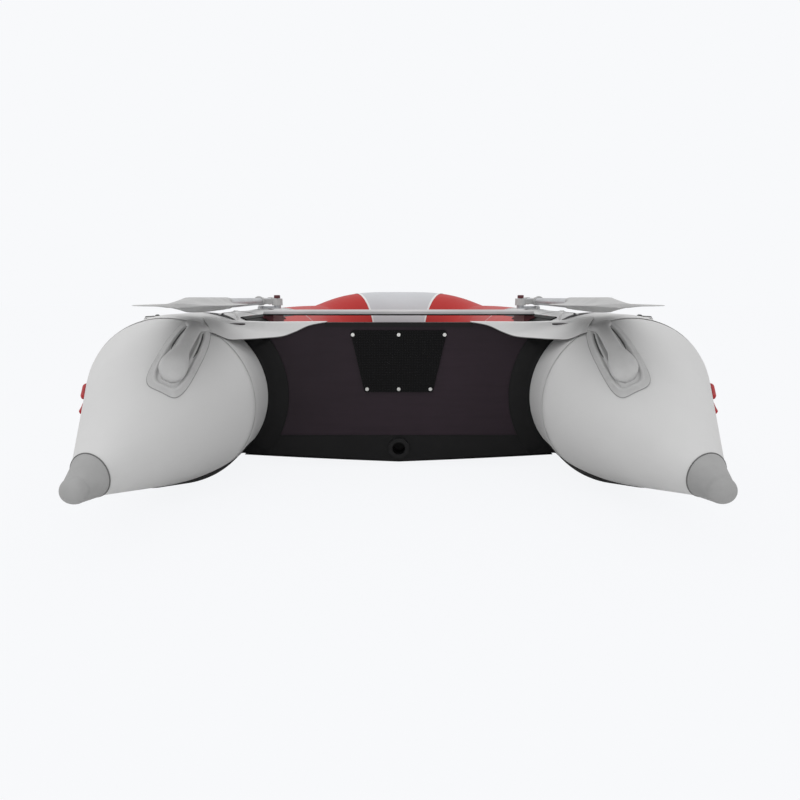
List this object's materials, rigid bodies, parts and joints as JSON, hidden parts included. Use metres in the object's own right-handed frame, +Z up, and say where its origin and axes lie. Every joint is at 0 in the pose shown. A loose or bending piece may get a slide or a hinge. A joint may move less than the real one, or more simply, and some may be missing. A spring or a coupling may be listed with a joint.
{
  "type": "inflatable dinghy",
  "caption": "Inflatable dinghy with rigid transom and motor pads, round bow, bench, stowed oars on pivoting rowlocks, floor boards, grab lines and stern handles.",
  "frame": {"origin": "centre of the boat's footprint, on the ground it stands on", "axes": "+X starboard, +Y towards the bow, +Z up"},
  "size_m": [1.572, 2.9935, 0.507],
  "materials": {
    "tube_grey": "matte",
    "tube_red": "satin",
    "strake_red": "matte",
    "black_rubber": "matte",
    "moulded_grey": "matte",
    "light_rubber": "matte",
    "transom_dark": "satin",
    "pad_black": "matte",
    "trim_dark": "satin",
    "screw_steel": "satin",
    "valve_black": "satin",
    "floor_ply": "matte",
    "bench_grey": "satin",
    "alloy": "satin",
    "oar_plastic": "matte",
    "maroon_plastic": "satin",
    "black_cord": "matte"
  },
  "bodies": {
    "hull": {"side_tube_port": "tube_grey", "side_tube_starboard": "tube_grey", "bow_tube_port": "tube_red", "bow_tube_starboard": "tube_red", "bow_tube_centre": "tube_grey", "aft_cone_port": "tube_grey", "aft_cone_starboard": "tube_grey", "cone_caps": "moulded_grey", "chamber_baffles": "tube_grey", "seam_bands": "light_rubber", "rub_strake_port": "strake_red", "rub_strake_starboard": "strake_red", "rub_strake_bow": "strake_red", "chafe_strips": "black_rubber", "bottom_skin": "black_rubber", "air_keel": "black_rubber", "floor_board_aft": "floor_ply", "floor_board_middle": "floor_ply", "floor_board_bow": "floor_ply", "floor_joiners": "alloy", "floor_stringers": "alloy", "transom_board": "transom_dark", "transom_top_trim": "trim_dark", "transom_bottom_band": "black_rubber", "transom_flanges": "black_rubber", "corner_gussets": "light_rubber", "motor_pad_outer": "pad_black", "motor_pad_inner": "pad_black", "motor_pad_screws": "screw_steel", "drain_valve_body": "valve_black", "drain_valve_nut": "valve_black", "air_valve_bodies": "moulded_grey", "bench_tracks": "black_rubber", "rowlock_bases": "light_rubber", "oar_saddles": "light_rubber", "stern_handle_port": "moulded_grey", "stern_handle_starboard": "moulded_grey", "lifelines": "black_cord", "lifeline_holders": "light_rubber", "bow_handle": "black_rubber", "towing_patch": "moulded_grey"},
    "bench": {"bench_board": "bench_grey", "bench_clips": "maroon_plastic"},
    "drain_flap": {"drain_valve_flap": "valve_black"},
    "bow_ring": {"towing_ring": "screw_steel"},
    "valve_cap_port": {"air_valve_cap_port": "valve_black"},
    "valve_cap_starboard": {"air_valve_cap_starboard": "valve_black"},
    "valve_cap_bow": {"air_valve_cap_bow": "valve_black"},
    "cradle_port": {"rowlock_cradle_port": "alloy", "rowlock_knob_port": "maroon_plastic"},
    "oar_port": {"oar_shaft_port": "alloy", "oar_grip_port": "oar_plastic", "oar_blade_port": "oar_plastic", "oar_collar_port": "oar_plastic"},
    "cradle_starboard": {"rowlock_cradle_starboard": "alloy", "rowlock_knob_starboard": "maroon_plastic"},
    "oar_starboard": {"oar_shaft_starboard": "alloy", "oar_grip_starboard": "oar_plastic", "oar_blade_starboard": "oar_plastic", "oar_collar_starboard": "oar_plastic"}
  },
  "joints": [
    {"name": "bench_slide", "type": "slide", "parent": "hull", "child": "bench", "axis": [0, 1, 0], "range_m": [-0.15, 0.05]},
    {"name": "drain_flap_hinge", "type": "hinge", "parent": "hull", "child": "drain_flap", "pos_m": [0, -0.86787, 0.0875], "axis": [1, 0, 0], "range_deg": [0, 110]},
    {"name": "towing_ring_hinge", "type": "hinge", "parent": "hull", "child": "bow_ring", "pos_m": [0, 1.45536, 0.15971], "axis": [1, 0, 0], "range_deg": [-20, 95]},
    {"name": "valve_cap_port_turn", "type": "hinge", "parent": "hull", "child": "valve_cap_port", "pos_m": [-0.359, -0.71037, 0.212], "axis": [1, 0, 0], "range_deg": [0, 90]},
    {"name": "valve_cap_starboard_turn", "type": "hinge", "parent": "hull", "child": "valve_cap_starboard", "pos_m": [0.359, -0.71037, 0.212], "axis": [-1, 0, 0], "range_deg": [0, 90]},
    {"name": "valve_cap_bow_turn", "type": "hinge", "parent": "hull", "child": "valve_cap_bow", "pos_m": [0.359, 0.16463, 0.212], "axis": [-1, 0, 0], "range_deg": [0, 90]},
    {"name": "oar_dip_port", "type": "hinge", "parent": "hull", "child": "cradle_port", "pos_m": [-0.585, -0.06037, 0.4285], "axis": [0, -1, 0], "range_deg": [-3, 17]},
    {"name": "oar_sweep_port", "type": "hinge", "parent": "cradle_port", "child": "oar_port", "pos_m": [-0.5155, -0.06037, 0.455], "axis": [0, 0, -1], "range_deg": [0, 115]},
    {"name": "oar_dip_starboard", "type": "hinge", "parent": "hull", "child": "cradle_starboard", "pos_m": [0.585, -0.06037, 0.4285], "axis": [0, 1, 0], "range_deg": [-3, 17]},
    {"name": "oar_sweep_starboard", "type": "hinge", "parent": "cradle_starboard", "child": "oar_starboard", "pos_m": [0.5155, -0.06037, 0.455], "axis": [0, 0, 1], "range_deg": [0, 115]}
  ]
}
